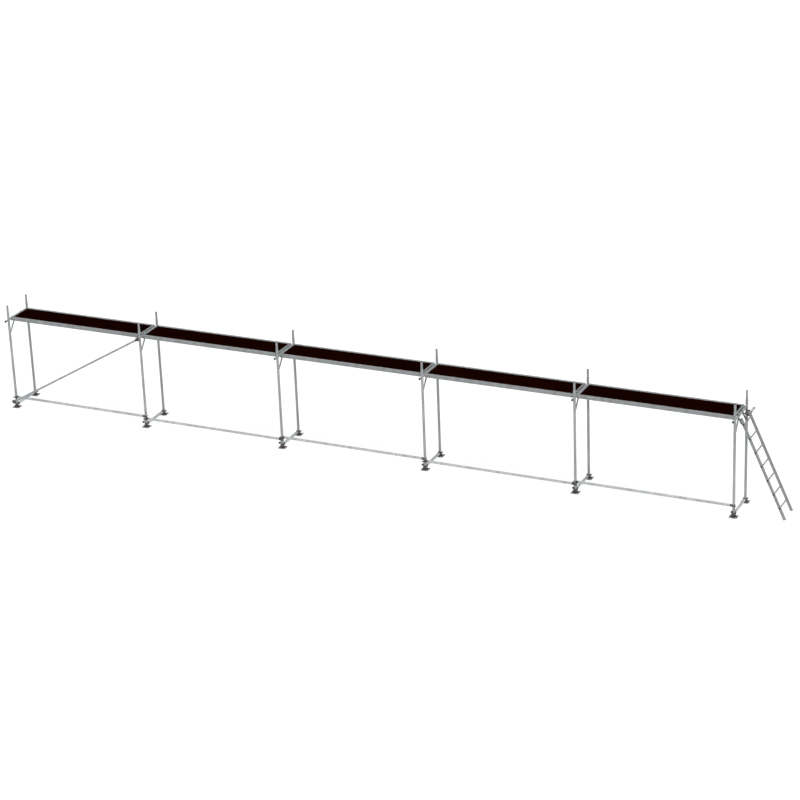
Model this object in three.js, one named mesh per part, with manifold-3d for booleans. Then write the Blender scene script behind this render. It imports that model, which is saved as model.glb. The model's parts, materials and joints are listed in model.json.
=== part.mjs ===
// A run of decked scaffold bays with a ladder hooked on its last frame.
// Millimetres, +Z up, X along the run, the ground at z = 0.
import * as THREE from "three";
import { mergeVertices } from "three/addons/utils/BufferGeometryUtils.js";
import Module from "manifold-3d";

const wasm = await Module();
wasm.setup();

// Driving dimensions
const GAP = 0.3;                  // play left between pieces that touch
const BAYS = 5;
const BAY = 3000;
const POST_Y = 338;               // half the distance between front and back posts
const TUBE_R = 24.15;             // standard scaffold tube, 48.3 mm outside
const TUBE_BORE = 20.95;
const TUBE_SIDES = 8;
const POST_BOTTOM = 46;
const POST_TOP = 2013;
const SPIGOT_R = 20;
const SPIGOT_BORE = 17;
const SPIGOT_TOP = 2160;
const SPIGOT_FOOT = 1930;         // the spigot is pushed this far down into the post
const TRANSOM_Z = 1866;
const DECK_TOP = 1906;

const STUB_R = 19;
const STUB_BORE = 15.5;
const STUB_END = POST_Y + 121;    // open end of a stub, measured from the run's centre line
const STUB_HIGH = 1863;
const STUB_LOW = 141;

const CORNER_BRACE_R = 13.4;
const CORNER_BRACE_TOP = [110, 1845];
const CORNER_BRACE_FOOT = [318, 1574];

const COUPLER_WALL = 7;
const BORE_PLAY = 1.4 * GAP;      // keeps a faceted bore clear of a faceted tube
const HINGE_HALF = 12;            // half the width of a coupler's hinge block
const HINGE_INSET = 3;            // the hinge block is this much shorter than its band at each end
const BOLT_HALF = 8;              // half the thickness of the T-bolt, and of the slot it crosses
const BOLT_NEAR = 1;              // the bolt's distances outside the gripped tube
const BOLT_FAR = 18;
const BOLT_NUT_REACH = 30;        // from the gripped tube to the end of the bolt's nut
const BOLT_HEAD_REACH = 4;
const TUBE_START = 58;            // a coupled tube starts this far from the gripped axis
const NECK_R = 18;
const LEDGER_HIGH = 216;
const LEDGER_LOW = 171;
const LEDGER_BAND = 40;
const CROSS_TUBE_Z = 64;
const CROSS_BAND = 36;
const BRACE_Y = -430;
const BRACE_R = 19;
const BRACE_BORE = 21;            // the facets of bore and stub don't line up here

const PLATE = 150;
const PLATE_T = 6;
const PLATE_CORNER = 12;
const PLATE_HOLE_R = 13;
const PLATE_HOLE_AT = 48;
const SPINDLE_R = 18;
const SPINDLE_BORE = 13;
const SPINDLE_TOP = 456;
const NUT_R = 28;
const NUT_BORE = 20;              // runs on the spindle's thread
const WING_REACH = 52;
const WING_T = 13;
const WING_BOTTOM = 12;
const WING_TOP = 36;

const DECK_HALF = 303;
const RAIL_H = 62;
const RAIL_FLANGE = 55;
const SHEET_T = 4;
const LAP = 0.5;                  // the end profiles lie this far inside the side rails' faces
const DECK_END = 33;              // a deck's end face, measured from the frame's plane
const DECK_INSET = 62;            // where the plywood starts, measured from the frame's plane
const PLY_T = 10;
const PLY_DROP = 3;               // the plywood lies this far below the flanges
const CROSS_MEMBERS = 4;
const MEMBER_HALF_W = 20;
const MEMBER_H = 30;
const CLAW_W = 45;
const CLAW_T = 5;
const CLAW_ROOT_H = 15;           // height of a claw where it is welded on
const CLAW_NEAR = 120;            // a deck end has one claw here and one on the other side
const CLAW_FAR = 200;

const LADDER_TILT = THREE.MathUtils.degToRad(24.46);
const LADDER_REF_X = 480;         // a point on the ladder's mid-plane, from the last frame
const LADDER_REF_Z = 906;
const LADDER_Y = 35;
const STILE_HALF_SPREAD = 210;
const STILE_D = 50;
const STILE_W = 25;
const STILE_TOP = -1004;          // distances along the stile from the reference point
const CAP_TOP = -1020;
const RUNGS = 7;
const RUNG_FIRST = -897;
const RUNG_PITCH = 275;
const RUNG_R = 14;
const RUNG_BORE = 11.5;
const RUNG_PROUD = 2;             // a rung's end stands this far out of its stile
const HOOK_T = 8;
const HOOK_R = 25.3;
const HOOK_OUT = 32;
const HOOK_SHANK_W = 21;
const HOOK_SHANK_FROM = -1055;    // where a side hook's shank starts and ends along the stile
const HOOK_SHANK_TO = -912;
const HOOK_LIP = THREE.MathUtils.degToRad(200);
const HOOK_ROOT = THREE.MathUtils.degToRad(-50);
const EYE_WALL = 9;

const SUPPORT_X = 53;
const SUPPORT_Z = 1728;
const SUPPORT_FROM = 262;
const SUPPORT_TO = 607;
const LUG_HALF = 16;
const LUG_REACH = 18;             // the lugs and hinges reach this far outside the gripped tubes
const CLAMP_BOLT_R = 6.5;
const CLAMP_BOLT_OUT = 12;        // a clamp bolt's axis, measured outside the gripped tube

// Materials
const galvanised = { color: 0xa9adae, roughness: 0.45, metalness: 0.75 };
const brightTube = { color: 0xc6cacb, roughness: 0.4, metalness: 0.75 };
const darkSteel = { color: 0x5c5654, roughness: 0.55, metalness: 0.6 };
const plywood = { color: 0x2a0f09, roughness: 0.65, metalness: 0 };

const object = new THREE.Group();

function addPart(name, geometry, look) {
  const material = new THREE.MeshStandardMaterial(look);
  material.flatShading = true;
  const part = new THREE.Mesh(geometry, material);
  part.name = name;
  object.add(part);
  return part;
}

// Boolean helpers
function solid(geometry) {
  const bare = geometry.clone();
  bare.deleteAttribute("normal");
  bare.deleteAttribute("uv");
  const merged = mergeVertices(bare, 1e-4);
  return new wasm.Manifold(new wasm.Mesh({
    numProp: 3,
    vertProperties: new Float32Array(merged.attributes.position.array),
    triVerts: new Uint32Array(merged.index.array),
  }));
}

function join(...geometries) {
  return geometries.map(solid).reduce((whole, piece) => whole.add(piece));
}

function cut(body, ...geometries) {
  return geometries.map(solid).reduce((whole, tool) => whole.subtract(tool), body);
}

function toGeometry(body) {
  const mesh = body.getMesh();
  const geometry = new THREE.BufferGeometry();
  geometry.setAttribute("position", new THREE.BufferAttribute(mesh.vertProperties, 3));
  geometry.setIndex(new THREE.BufferAttribute(mesh.triVerts, 1));
  geometry.computeVertexNormals();
  return geometry;
}

// Shape helpers
function block(x0, x1, y0, y1, z0, z1) {
  const geometry = new THREE.BoxGeometry(x1 - x0, y1 - y0, z1 - z0);
  return geometry.translate((x0 + x1) / 2, (y0 + y1) / 2, (z0 + z1) / 2);
}

// A round bar between two points.
function bar(from, to, radius, sides = TUBE_SIDES) {
  const start = new THREE.Vector3(...from);
  const end = new THREE.Vector3(...to);
  const direction = end.clone().sub(start);
  const geometry = new THREE.CylinderGeometry(radius, radius, direction.length(), sides);
  const turn = new THREE.Quaternion().setFromUnitVectors(
    new THREE.Vector3(0, 1, 0), direction.clone().normalize());
  geometry.applyQuaternion(turn);
  const middle = start.add(end).multiplyScalar(0.5);
  return geometry.translate(middle.x, middle.y, middle.z);
}

// An outline in the XZ plane, extruded along Y between two values.
function plateXZ(shape, y0, y1, curveSegments = 4) {
  const geometry = new THREE.ExtrudeGeometry(shape, {
    depth: y1 - y0, bevelEnabled: false, curveSegments,
  });
  geometry.rotateX(Math.PI / 2);
  return geometry.translate(0, y1, 0);
}

function polygon(points) {
  return new THREE.Shape(points.map(([x, y]) => new THREE.Vector2(x, y)));
}

// Frames
function post(y) {
  const profile = [
    [TUBE_BORE, POST_BOTTOM], [TUBE_R, POST_BOTTOM], [TUBE_R, POST_TOP],
    [SPIGOT_R, POST_TOP], [SPIGOT_R, SPIGOT_TOP], [SPIGOT_BORE, SPIGOT_TOP],
    [SPIGOT_BORE, SPIGOT_FOOT], [TUBE_BORE, SPIGOT_FOOT], [TUBE_BORE, POST_BOTTOM],
  ];
  const points = profile.map(([r, z]) => new THREE.Vector2(r, z));
  return new THREE.LatheGeometry(points, TUBE_SIDES).rotateX(Math.PI / 2).translate(0, y, 0);
}

function postCore(y) {
  return bar([0, y, POST_BOTTOM - 1], [0, y, SPIGOT_FOOT], TUBE_BORE - 0.02);
}

function cornerBrace(side) {
  const [topY, topZ] = CORNER_BRACE_TOP;
  const [footY, footZ] = CORNER_BRACE_FOOT;
  return bar([0, side * topY, topZ], [0, side * footY, footZ], CORNER_BRACE_R, 6);
}

function frame() {
  const transom = bar([0, -POST_Y, TRANSOM_Z], [0, POST_Y, TRANSOM_Z], TUBE_R);
  const transomBore = bar([0, -POST_Y, TRANSOM_Z], [0, POST_Y, TRANSOM_Z], TUBE_BORE - 0.5);
  const stubs = [STUB_HIGH, STUB_LOW].map(
    (z) => bar([0, -POST_Y, z], [0, -STUB_END, z], STUB_R));
  const stubBores = [STUB_HIGH, STUB_LOW].map(
    (z) => bar([0, -POST_Y - TUBE_R, z], [0, -STUB_END - 1, z], STUB_BORE));
  const arms = cut(
    join(transom, cornerBrace(-1), cornerBrace(1), ...stubs),
    postCore(-POST_Y), postCore(POST_Y));
  const welded = arms.add(solid(post(-POST_Y))).add(solid(post(POST_Y)));
  return toGeometry(cut(welded, transomBore, ...stubBores));
}

// Base jacks: a plate with a spindle that slides in the post, and the nut that carries the post
function jackPlate() {
  const h = PLATE / 2;
  const c = h - PLATE_CORNER;
  const outline = polygon([[h, -c], [h, c], [c, h], [-c, h], [-h, c], [-h, -c], [-c, -h], [c, -h]]);
  for (const sx of [-1, 1]) {
    for (const sy of [-1, 1]) {
      const hole = new THREE.Path();
      hole.absarc(sx * PLATE_HOLE_AT, sy * PLATE_HOLE_AT, PLATE_HOLE_R, 0, 2 * Math.PI, true);
      outline.holes.push(hole);
    }
  }
  return new THREE.ExtrudeGeometry(outline, { depth: PLATE_T, bevelEnabled: false, curveSegments: 3 });
}

function baseJack() {
  const spindle = bar([0, 0, PLATE_T / 2], [0, 0, SPINDLE_TOP], SPINDLE_R);
  const bore = bar([0, 0, 2 * PLATE_T], [0, 0, SPINDLE_TOP + 1], SPINDLE_BORE);
  return toGeometry(cut(join(jackPlate(), spindle), bore));
}

function jackNut() {
  const bottom = PLATE_T + GAP;
  const top = POST_BOTTOM - GAP;
  const body = bar([0, 0, bottom], [0, 0, top], NUT_R);
  const wings = block(-WING_REACH, WING_REACH, -WING_T / 2, WING_T / 2, WING_BOTTOM, WING_TOP);
  const bore = bar([0, 0, bottom - 1], [0, 0, top + 1], NUT_BORE);
  return toGeometry(cut(join(body, wings), bore));
}

// A half-coupler around the local Z axis. Its tube leaves towards dir * X, its hinge is at +Y
// and its T-bolt crosses in front at -Y, with the nut on the side away from the tube.
function coupler(gripR, band, dir, boreR = gripR + BORE_PLAY) {
  const outer = gripR + COUPLER_WALL;
  const half = band / 2;
  const nutEnd = -dir * (gripR + BOLT_NUT_REACH);
  const headEnd = dir * (gripR + BOLT_HEAD_REACH);
  const bolt = block(
    Math.min(nutEnd, headEnd), Math.max(nutEnd, headEnd),
    -gripR - BOLT_FAR, -gripR - BOLT_NEAR, -BOLT_HALF, BOLT_HALF);
  const ring = bar([0, 0, -half], [0, 0, half], outer);
  const hinge = block(
    -HINGE_HALF, HINGE_HALF, outer - 4, gripR + BOLT_FAR, HINGE_INSET - half, half - HINGE_INSET);
  const mouth = gripR - 4;
  const neck = bar([dir * mouth, 0, 0], [dir * TUBE_START, 0, 0], NECK_R);
  const slot = block(-BOLT_HALF, BOLT_HALF, -2 * outer, 0, -band, band);
  const lowSlot = block(-mouth, mouth, -2 * outer, 0, -band, -BOLT_HALF - 1);
  const bore = bar([0, 0, -band], [0, 0, band], boreR);
  const shell = cut(join(ring, neck), bore, slot, lowSlot);
  return toGeometry(shell.add(solid(bolt)).add(solid(hinge)));
}

function ledger(z) {
  const bodies = [0, BAY].map((x, end) => {
    const dir = end === 0 ? 1 : -1;
    return coupler(TUBE_R, LEDGER_BAND, dir).translate(x, -POST_Y, z);
  });
  const tube = bar([TUBE_START - 1, -POST_Y, z], [BAY - TUBE_START + 1, -POST_Y, z], TUBE_R);
  return toGeometry(join(...bodies, tube));
}

function crossTube() {
  const ends = [-1, 1].map(
    (side) => coupler(TUBE_R, CROSS_BAND, -side).rotateZ(Math.PI / 2)
      .translate(0, side * POST_Y, CROSS_TUBE_Z));
  const reach = POST_Y - TUBE_START + 1;
  const tube = bar([0, -reach, CROSS_TUBE_Z], [0, reach, CROSS_TUBE_Z], TUBE_R);
  return toGeometry(join(...ends, tube));
}

// The diagonal grips the lower stub of the first frame and the upper stub of the second.
function diagonalBrace() {
  const rise = STUB_HIGH - STUB_LOW;
  const length = Math.hypot(BAY, rise);
  const along = new THREE.Vector3(BAY / length, 0, rise / length);
  const across = new THREE.Vector3(0, 1, 0);
  const basis = new THREE.Matrix4().makeBasis(
    along, new THREE.Vector3().crossVectors(across, along), across);
  const placed = (geometry) => geometry.applyMatrix4(basis).translate(0, BRACE_Y, STUB_LOW);
  const foot = coupler(STUB_R, LEDGER_BAND, 1, BRACE_BORE);
  const head = coupler(STUB_R, LEDGER_BAND, -1, BRACE_BORE).translate(length, 0, 0);
  const tube = bar([TUBE_START - 1, 0, 0], [length - TUBE_START + 1, 0, 0], BRACE_R);
  return toGeometry(join(placed(foot), placed(head), placed(tube)));
}

// Decks. The edge section is a channel, open towards the middle of the deck.
function edgeSection(width, height) {
  const t = SHEET_T;
  return polygon([
    [0, 0], [width, 0], [width, -t], [t, -t],
    [t, -height + t], [width / 2, -height + t], [width / 2, -height], [0, -height],
  ]);
}

function sideRail(side) {
  const from = DECK_END + LAP;
  const length = BAY - 2 * from;
  const rail = new THREE.ExtrudeGeometry(edgeSection(RAIL_FLANGE, RAIL_H), {
    depth: length, bevelEnabled: false,
  });
  rail.rotateX(Math.PI / 2).rotateZ(Math.PI / 2);
  if (side > 0) {
    rail.rotateZ(Math.PI).translate(length, 0, 0);
  }
  return rail.translate(from, side * DECK_HALF, DECK_TOP);
}

function endProfile(atEnd) {
  const reach = DECK_HALF - SHEET_T / 2;
  const section = edgeSection(DECK_INSET - DECK_END, RAIL_H - 2 * LAP);
  const profile = plateXZ(section, -reach, reach);
  if (atEnd) {
    return profile.rotateZ(Math.PI).translate(BAY - DECK_END, 0, DECK_TOP - LAP);
  }
  return profile.translate(DECK_END, 0, DECK_TOP - LAP);
}

// One claw over a transom whose axis is the local Y axis; its deck lies towards dir * X.
function claw(dir, y) {
  const inner = TUBE_R + 2 * GAP;
  const outer = inner + CLAW_T;
  const root = DECK_END + 2;
  const outline = [[-root, outer], [-root, outer - CLAW_ROOT_H]];
  for (const degrees of [135, 90, 45, 0]) {
    const angle = THREE.MathUtils.degToRad(degrees);
    outline.push([inner * Math.cos(angle), inner * Math.sin(angle)]);
  }
  for (const degrees of [0, 45, 90]) {
    const angle = THREE.MathUtils.degToRad(degrees);
    outline.push([outer * Math.cos(angle), outer * Math.sin(angle)]);
  }
  const plate = plateXZ(polygon(outline), -CLAW_W / 2, CLAW_W / 2);
  if (dir > 0) {
    plate.rotateZ(Math.PI);
  }
  return plate.translate(0, y, 0);
}

function deckFrame() {
  const members = [];
  for (let i = 1; i <= CROSS_MEMBERS; i += 1) {
    const x = DECK_END + (BAY - 2 * DECK_END) * i / (CROSS_MEMBERS + 1);
    const top = DECK_TOP - PLY_DROP - PLY_T - GAP;
    const reach = DECK_HALF - SHEET_T / 2;
    members.push(block(x - MEMBER_HALF_W, x + MEMBER_HALF_W, -reach, reach, top - MEMBER_H, top));
  }
  const claws = [
    claw(1, CLAW_NEAR).translate(0, 0, TRANSOM_Z),
    claw(1, -CLAW_FAR).translate(0, 0, TRANSOM_Z),
    claw(-1, -CLAW_NEAR).translate(BAY, 0, TRANSOM_Z),
    claw(-1, CLAW_FAR).translate(BAY, 0, TRANSOM_Z),
  ];
  return toGeometry(join(
    sideRail(-1), sideRail(1), endProfile(false), endProfile(true), ...members, ...claws));
}

function plywoodPanel() {
  const halfWidth = DECK_HALF - RAIL_FLANGE - GAP;
  const top = DECK_TOP - PLY_DROP;
  return block(DECK_INSET + GAP, BAY - DECK_INSET - GAP, -halfWidth, halfWidth, top - PLY_T, top);
}

// Ladder. Distances s run down the stiles, distances n stand off their mid-plane.
const LAST_X = BAYS * BAY;

function ladderPoint(s, n = 0) {
  const x = LADDER_REF_X + s * Math.sin(LADDER_TILT) + n * Math.cos(LADDER_TILT);
  const z = LADDER_REF_Z - s * Math.cos(LADDER_TILT) + n * Math.sin(LADDER_TILT);
  return [x, z];
}

// The stiles are cut square, so their lower rear corners stand on the ground.
const STILE_BOTTOM = (LADDER_REF_Z - (STILE_D / 2) * Math.sin(LADDER_TILT))
  / Math.cos(LADDER_TILT);

function stile(y) {
  const half = STILE_D / 2;
  const corners = [
    ladderPoint(STILE_TOP, -half), ladderPoint(STILE_BOTTOM, -half),
    ladderPoint(STILE_BOTTOM, half), ladderPoint(STILE_TOP, half),
  ];
  return plateXZ(polygon(corners), y - STILE_W / 2, y + STILE_W / 2);
}

function ladderFrame() {
  const left = LADDER_Y - STILE_HALF_SPREAD;
  const right = LADDER_Y + STILE_HALF_SPREAD;
  const end = STILE_W / 2 + RUNG_PROUD;
  const rungs = [];
  const bores = [];
  for (let i = 0; i < RUNGS; i += 1) {
    const [x, z] = ladderPoint(RUNG_FIRST + i * RUNG_PITCH);
    rungs.push(bar([x, left - end, z], [x, right + end, z], RUNG_R));
    bores.push(bar([x, left - end - 1, z], [x, right + end + 1, z], RUNG_BORE));
  }
  return toGeometry(cut(join(stile(left), stile(right), ...rungs), ...bores));
}

function ladderCap(y) {
  const half = STILE_D / 2;
  const low = STILE_TOP - GAP;
  const points = [ladderPoint(low, half), ladderPoint(low, -half)];
  const steps = 6;
  for (let i = 0; i <= steps; i += 1) {
    const angle = Math.PI * i / steps;
    const s = low - 4 - (low - 4 - CAP_TOP) * Math.sin(angle);
    points.push(ladderPoint(s, -half * Math.cos(angle)));
  }
  return plateXZ(polygon(points), y - STILE_W / 2, y + STILE_W / 2);
}

// A hook's plate: a hood over the transom with a straight shank below it.
function hookPlate(y, shank) {
  const hood = new THREE.Shape();
  hood.absarc(0, 0, HOOK_OUT, HOOK_ROOT, HOOK_LIP, false);
  hood.absarc(0, 0, HOOK_R, HOOK_LIP, HOOK_ROOT, true);
  const y0 = y - HOOK_T / 2;
  const y1 = y + HOOK_T / 2;
  const whole = join(plateXZ(hood, y0, y1, 10), plateXZ(shank, y0, y1));
  return cut(whole, bar([0, y0 - 1, 0], [0, y1 + 1, 0], HOOK_R, 16));
}

function strip(from, to, width) {
  const [x0, z0] = from;
  const [x1, z1] = to;
  const length = Math.hypot(x1 - x0, z1 - z0);
  const nx = -(z1 - z0) / length * width / 2;
  const nz = (x1 - x0) / length * width / 2;
  return polygon([[x0 + nx, z0 + nz], [x0 - nx, z0 - nz], [x1 - nx, z1 - nz], [x1 + nx, z1 + nz]]);
}

// A side hook's shank lies against the lower face of its stile.
function sideHook(y) {
  const offset = -STILE_D / 2 - GAP - HOOK_SHANK_W / 2;
  const top = ladderPoint(HOOK_SHANK_FROM, offset);
  const foot = ladderPoint(HOOK_SHANK_TO, offset);
  const shank = strip(
    [top[0], top[1] - TRANSOM_Z], [foot[0], foot[1] - TRANSOM_Z], HOOK_SHANK_W);
  return toGeometry(hookPlate(y, shank)).translate(0, 0, TRANSOM_Z);
}

// The middle hook ends in an eye around the top rung.
function middleHook(y) {
  const [x, z] = ladderPoint(RUNG_FIRST);
  const rungZ = z - TRANSOM_Z;
  const share = HOOK_R / Math.hypot(x, rungZ) + 0.03;
  const shank = strip([x * share, rungZ * share], [x, rungZ], HOOK_SHANK_W);
  const y0 = y - HOOK_T / 2;
  const y1 = y + HOOK_T / 2;
  const eye = bar([x, y0, rungZ], [x, y1, rungZ], RUNG_R + EYE_WALL);
  const hole = bar([x, y0 - 1, rungZ], [x, y1 + 1, rungZ], RUNG_R + 1.5 * GAP);
  const body = cut(hookPlate(y, shank).add(solid(eye)), hole);
  return toGeometry(body).translate(0, 0, TRANSOM_Z);
}

// A right-angle coupler holds the support tube on the last back post.
function supportCoupler() {
  const band = LEDGER_BAND / 2;
  const outer = TUBE_R + COUPLER_WALL;
  const onPost = bar([0, 0, -band], [0, 0, band], outer);
  const onTube = bar([SUPPORT_X, -band, 0], [SUPPORT_X, band, 0], outer);
  const hingeFar = TUBE_R + LUG_REACH - 1;
  const lugFar = TUBE_R + LUG_REACH;
  const near = TUBE_R - 4;
  const hingeBand = band - HINGE_INSET;
  const lugBand = BOLT_HALF + 1;
  const boltAt = TUBE_R + CLAMP_BOLT_OUT;
  const postHinge = block(-HINGE_HALF, HINGE_HALF, near, hingeFar, -hingeBand, hingeBand);
  const postLug = block(-LUG_HALF, LUG_HALF, -lugFar, -near, -lugBand, lugBand);
  const postBolt = bar([-boltAt - 2, -boltAt, 0], [TUBE_R + 2, -boltAt, 0], CLAMP_BOLT_R);
  const tubeHinge = block(
    SUPPORT_X - HINGE_HALF, SUPPORT_X + HINGE_HALF, -hingeBand, hingeBand, -hingeFar, -near);
  const tubeLug = block(
    SUPPORT_X - LUG_HALF, SUPPORT_X + LUG_HALF, -lugBand, lugBand, near, lugFar);
  const tubeBolt = bar(
    [SUPPORT_X - TUBE_R - 2, 0, boltAt], [SUPPORT_X + boltAt + 2, 0, boltAt], CLAMP_BOLT_R);
  const grip = TUBE_R + BORE_PLAY;
  const body = cut(
    join(onPost, onTube, postHinge, postLug, tubeHinge, tubeLug, postBolt, tubeBolt),
    bar([0, 0, -2 * band], [0, 0, 2 * band], grip),
    bar([SUPPORT_X, -2 * band, 0], [SUPPORT_X, 2 * band, 0], grip));
  return toGeometry(body).translate(LAST_X, POST_Y, SUPPORT_Z);
}

function supportTube() {
  const x = LAST_X + SUPPORT_X;
  const outside = bar([x, SUPPORT_FROM, SUPPORT_Z], [x, SUPPORT_TO, SUPPORT_Z], TUBE_R);
  const bore = bar([x, SUPPORT_FROM - 1, SUPPORT_Z], [x, SUPPORT_TO + 1, SUPPORT_Z], TUBE_BORE);
  return toGeometry(cut(solid(outside), bore));
}

// Assembly
for (let i = 0; i <= BAYS; i += 1) {
  const number = i + 1;
  const x = i * BAY;
  addPart(`frame_${number}`, frame(), galvanised).position.x = x;
  addPart(`cross_tube_${number}`, crossTube(), brightTube).position.x = x;
  for (const [side, y] of [["front", -POST_Y], ["back", POST_Y]]) {
    addPart(`base_jack_${side}_${number}`, baseJack(), darkSteel).position.set(x, y, 0);
    addPart(`jack_nut_${side}_${number}`, jackNut(), darkSteel).position.set(x, y, 0);
  }
}

for (let i = 0; i < BAYS; i += 1) {
  const number = i + 1;
  const x = i * BAY;
  addPart(`ledger_${number}`, ledger(i % 2 ? LEDGER_LOW : LEDGER_HIGH), brightTube).position.x = x;
  addPart(`deck_frame_${number}`, deckFrame(), galvanised).position.x = x;
  addPart(`plywood_${number}`, plywoodPanel(), plywood).position.x = x;
}

addPart("diagonal_brace", diagonalBrace(), brightTube);
addPart("support_tube", supportTube(), brightTube);
addPart("support_coupler", supportCoupler(), darkSteel);

const stileYs = [LADDER_Y - STILE_HALF_SPREAD, LADDER_Y + STILE_HALF_SPREAD];
addPart("ladder_frame", ladderFrame(), galvanised).position.x = LAST_X;
addPart("ladder_cap_front", ladderCap(stileYs[0]), darkSteel).position.x = LAST_X;
addPart("ladder_cap_back", ladderCap(stileYs[1]), darkSteel).position.x = LAST_X;
addPart("ladder_hook_front", sideHook(stileYs[0]), darkSteel).position.x = LAST_X;
addPart("ladder_hook_middle", middleHook(LADDER_Y), darkSteel).position.x = LAST_X;
addPart("ladder_hook_back", sideHook(stileYs[1]), darkSteel).position.x = LAST_X;

// The origin lies on the ground under the middle of the object's box.
const box = new THREE.Box3().setFromObject(object);
object.position.set(-(box.min.x + box.max.x) / 2, -(box.min.y + box.max.y) / 2, -box.min.z);

export default object;
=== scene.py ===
"""A five-bay scaffold platform with a hooked-on ladder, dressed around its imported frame."""
import json
import math
import bmesh
import bpy
from mathutils import Matrix, Vector


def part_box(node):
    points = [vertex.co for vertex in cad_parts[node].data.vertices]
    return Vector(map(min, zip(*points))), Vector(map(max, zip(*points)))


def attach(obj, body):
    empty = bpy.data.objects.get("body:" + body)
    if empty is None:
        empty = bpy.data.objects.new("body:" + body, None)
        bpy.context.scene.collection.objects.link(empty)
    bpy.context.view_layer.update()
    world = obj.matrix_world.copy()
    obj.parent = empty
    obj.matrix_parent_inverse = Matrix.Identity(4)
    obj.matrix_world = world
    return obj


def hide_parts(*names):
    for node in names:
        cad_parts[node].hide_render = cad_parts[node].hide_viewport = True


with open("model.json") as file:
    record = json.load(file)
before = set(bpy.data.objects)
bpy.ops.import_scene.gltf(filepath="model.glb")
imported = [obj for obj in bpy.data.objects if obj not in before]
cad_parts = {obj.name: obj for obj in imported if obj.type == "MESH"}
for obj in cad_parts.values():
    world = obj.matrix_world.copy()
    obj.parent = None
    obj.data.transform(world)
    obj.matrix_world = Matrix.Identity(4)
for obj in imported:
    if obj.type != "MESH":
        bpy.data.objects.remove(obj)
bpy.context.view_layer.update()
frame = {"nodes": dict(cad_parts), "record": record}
scene = bpy.context.scene
X_AXIS, Y_AXIS, Z_AXIS = Vector((1, 0, 0)), Vector((0, 1, 0)), Vector((0, 0, 1))


def middle(node):
    low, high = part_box(node)
    return (low + high) / 2


# ---------------------------------------------------------------- sizes, in metres
FRAMES = sum(name.startswith("frame_") for name in frame["nodes"])
BAYS = FRAMES - 1
FRAME_X = [middle(f"base_jack_front_{i + 1}").x for i in range(FRAMES)]
FRONT_Y = middle("base_jack_front_1").y
BACK_Y = middle("base_jack_back_1").y
RUN_Y = (FRONT_Y + BACK_Y) / 2
POST_Y = (BACK_Y - FRONT_Y) / 2
BAY = FRAME_X[1] - FRAME_X[0]

# frames
TUBE_R = 0.02415
TUBE_BORE = 0.02095
POST_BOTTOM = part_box("frame_1")[0].z
POST_TOP = 2.013
SPIGOT_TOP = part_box("frame_1")[1].z
SPIGOT_R = 0.020
SPIGOT_BORE = 0.017
TRANSOM_Z = next(joint["pos_m"][2] for joint in frame["record"]["behaviour"]["joints"]
                 if joint["name"] == "ladder_swing")
STUB_R = 0.019
STUB_BORE = 0.0155
STUB_END = RUN_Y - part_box("frame_1")[0].y
STUB_HIGH = 1.863
STUB_LOW = 0.141
BRACE_TOP = (0.110, 1.845)     # the (y, z) ends of a corner brace's axis
BRACE_FOOT = (0.318, 1.574)
CORNER_BRACE_R = 0.0134
WELD_IN = 0.0015     # a tube cut to a post ends this far inside the post's wall
CRIMP_DOWN = 0.065   # from the post's top down to its crimp
SPIGOT_IN = 0.083    # the length of the spigot inside the post

# couplers, ledgers, cross tubes and the diagonal brace
TUBE_START = 0.058   # from the gripped tube's axis to the end of the coupled tube
LEDGER_BAND = 0.040
CROSS_BAND = 0.036
PIN_OUT = 0.0115     # from the gripped tube to the axes of a clamp's hinge pin and bolt
CROSS_TUBE_Z = middle("cross_tube_1").z
BRACE_Y = middle("diagonal_brace").y

# base jacks
PLATE_HALF = 0.075
PLATE_T = 0.006
SPINDLE_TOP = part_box("base_jack_front_1")[1].z
PITCH = 0.008

# decks
DECK_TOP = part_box("deck_frame_1")[1].z
DECK_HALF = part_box("deck_frame_1")[1].y - RUN_Y
DECK_END = 0.033
RAIL_H = 0.062
RAIL_FLANGE = 0.055
END_FLANGE = 0.029
FLANGE_LIP = 0.012
SHEET_T = 0.003
MEMBERS = 4
MEMBER_REACH = DECK_HALF - SHEET_T
PLY_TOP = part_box("plywood_1")[1].z
CLAW_W = 0.045
# for each claw, whether its deck lies towards +X or -X, and its y
CLAWS = ((1, 0.120), (1, -0.200), (-1, -0.120), (-1, 0.200))

# ladder, whose places are distances down the stiles from LADDER_REF on their mid-plane
LADDER_X = FRAME_X[-1]
TILT = math.radians(24.46)
LADDER_REF = Vector((LADDER_X + 0.480, 0, 0.906))
STILE_Y = [middle("ladder_cap_front").y, middle("ladder_cap_back").y]
STILE_D = 0.050
STILE_W = 0.025
STILE_WALL = 0.0022
STILE_TOP = -1.004
STILE_BOTTOM = (LADDER_REF.z - STILE_D / 2 * math.sin(TILT)) / math.cos(TILT)
CAP_TOP = -1.020
RUNGS = 7
RUNG_FIRST = -0.897
RUNG_PITCH = 0.275
RUNG_R = 0.014
RUNG_BORE = 0.0115
HOOK_T = 0.008
HOOK_SHANK_W = 0.021
SMOOTH_UP_TO = 35    # degrees


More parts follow.
